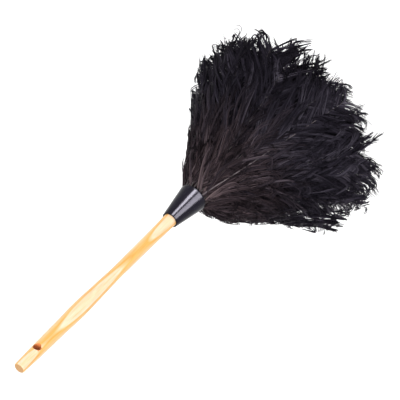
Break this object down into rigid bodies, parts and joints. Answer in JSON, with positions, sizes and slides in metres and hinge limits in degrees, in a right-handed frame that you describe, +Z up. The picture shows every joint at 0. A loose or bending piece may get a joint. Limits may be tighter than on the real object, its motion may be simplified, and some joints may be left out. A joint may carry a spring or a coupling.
{
  "type": "feather duster",
  "caption": "Feather duster with a turned wooden handle, a hang hole in its butt, a black conical ferrule and a full head of black ostrich plumes.",
  "frame": {"origin": "centre of the hang hole through the handle, near its butt", "axes": "+Z up along the handle from the plumes to the butt, so the duster hangs plume-down; Y runs through the hang hole; the plumes lie over furthest towards -X"},
  "size_m": [0.2606, 0.267, 0.5067],
  "materials": {
    "handle_wood": "clear lacquered pale wood, glossy",
    "ferrule_plastic": "black, high gloss",
    "plumes": "dyed black feather, soft and slightly glossy",
    "binding_twine": "wound natural twine, matte",
    "set_glue": "set hot-melt glue, satin"
  },
  "bodies": {
    "root": {"ferrule": "ferrule_plastic", "glue_collar": "set_glue", "handle": "handle_wood", "plume_inner_01": "plumes", "plume_inner_02": "plumes", "plume_inner_03": "plumes", "plume_inner_04": "plumes", "plume_inner_05": "plumes", "plume_inner_06": "plumes", "plume_inner_07": "plumes", "plume_inner_08": "plumes", "plume_inner_09": "plumes", "plume_inner_10": "plumes", "plume_inner_11": "plumes", "plume_inner_12": "plumes", "plume_middle_01": "plumes", "plume_middle_02": "plumes", "plume_middle_03": "plumes", "plume_middle_04": "plumes", "plume_middle_05": "plumes", "plume_middle_06": "plumes", "plume_middle_07": "plumes", "plume_middle_08": "plumes", "plume_middle_09": "plumes", "plume_middle_10": "plumes", "plume_middle_11": "plumes", "plume_middle_12": "plumes", "plume_middle_13": "plumes", "plume_middle_14": "plumes", "plume_middle_15": "plumes", "plume_middle_16": "plumes", "plume_middle_17": "plumes", "plume_outer_01": "plumes", "plume_outer_02": "plumes", "plume_outer_03": "plumes", "plume_outer_04": "plumes", "plume_outer_05": "plumes", "plume_outer_06": "plumes", "plume_outer_07": "plumes", "plume_outer_08": "plumes", "plume_outer_09": "plumes", "plume_outer_10": "plumes", "plume_outer_11": "plumes", "plume_outer_12": "plumes", "plume_outer_13": "plumes", "plume_outer_14": "plumes", "plume_outer_15": "plumes", "plume_outer_16": "plumes", "plume_outer_17": "plumes", "plume_outer_18": "plumes", "plume_outer_19": "plumes", "plume_outer_20": "plumes", "plume_outer_21": "plumes", "twine_inner": "binding_twine", "twine_middle": "binding_twine", "twine_outer": "binding_twine"}
  },
  "joints": []
}
